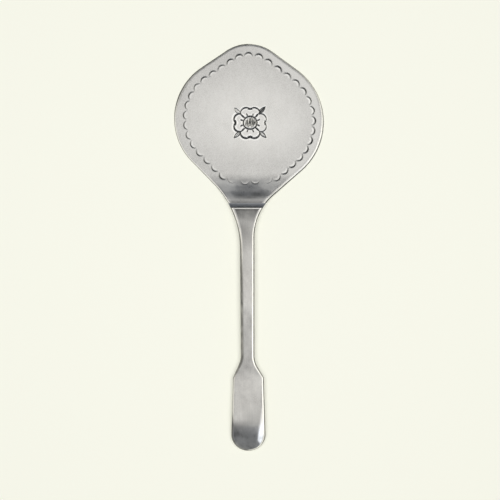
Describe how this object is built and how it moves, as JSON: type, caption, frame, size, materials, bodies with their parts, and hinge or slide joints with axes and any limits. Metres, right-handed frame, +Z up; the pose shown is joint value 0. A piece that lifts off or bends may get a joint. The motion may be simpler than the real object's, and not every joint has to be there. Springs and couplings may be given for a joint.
{
  "type": "flat server",
  "caption": "Pewter cake server with a broad flat blade, scalloped border, engraved rose and a slim fiddle handle, for lifting and serving slices.",
  "frame": {"origin": "on the flat underside of the blade, on the middle line where the blade is widest", "axes": "+Y towards the point of the blade, along the server; +Z up from the table; +X to the right as seen from the handle"},
  "size_m": [0.0883, 0.2398, 0.0147],
  "materials": {
    "blade_pewter": "satin pewter, fine scratches, darker in the engraving",
    "handle_pewter": "satin cast pewter, brushed along the handle",
    "solder": "dull pewter solder, scraped smooth"
  },
  "bodies": {
    "root": {"blade": "blade_pewter", "handle": "handle_pewter", "solder_seam": "solder"}
  },
  "joints": []
}
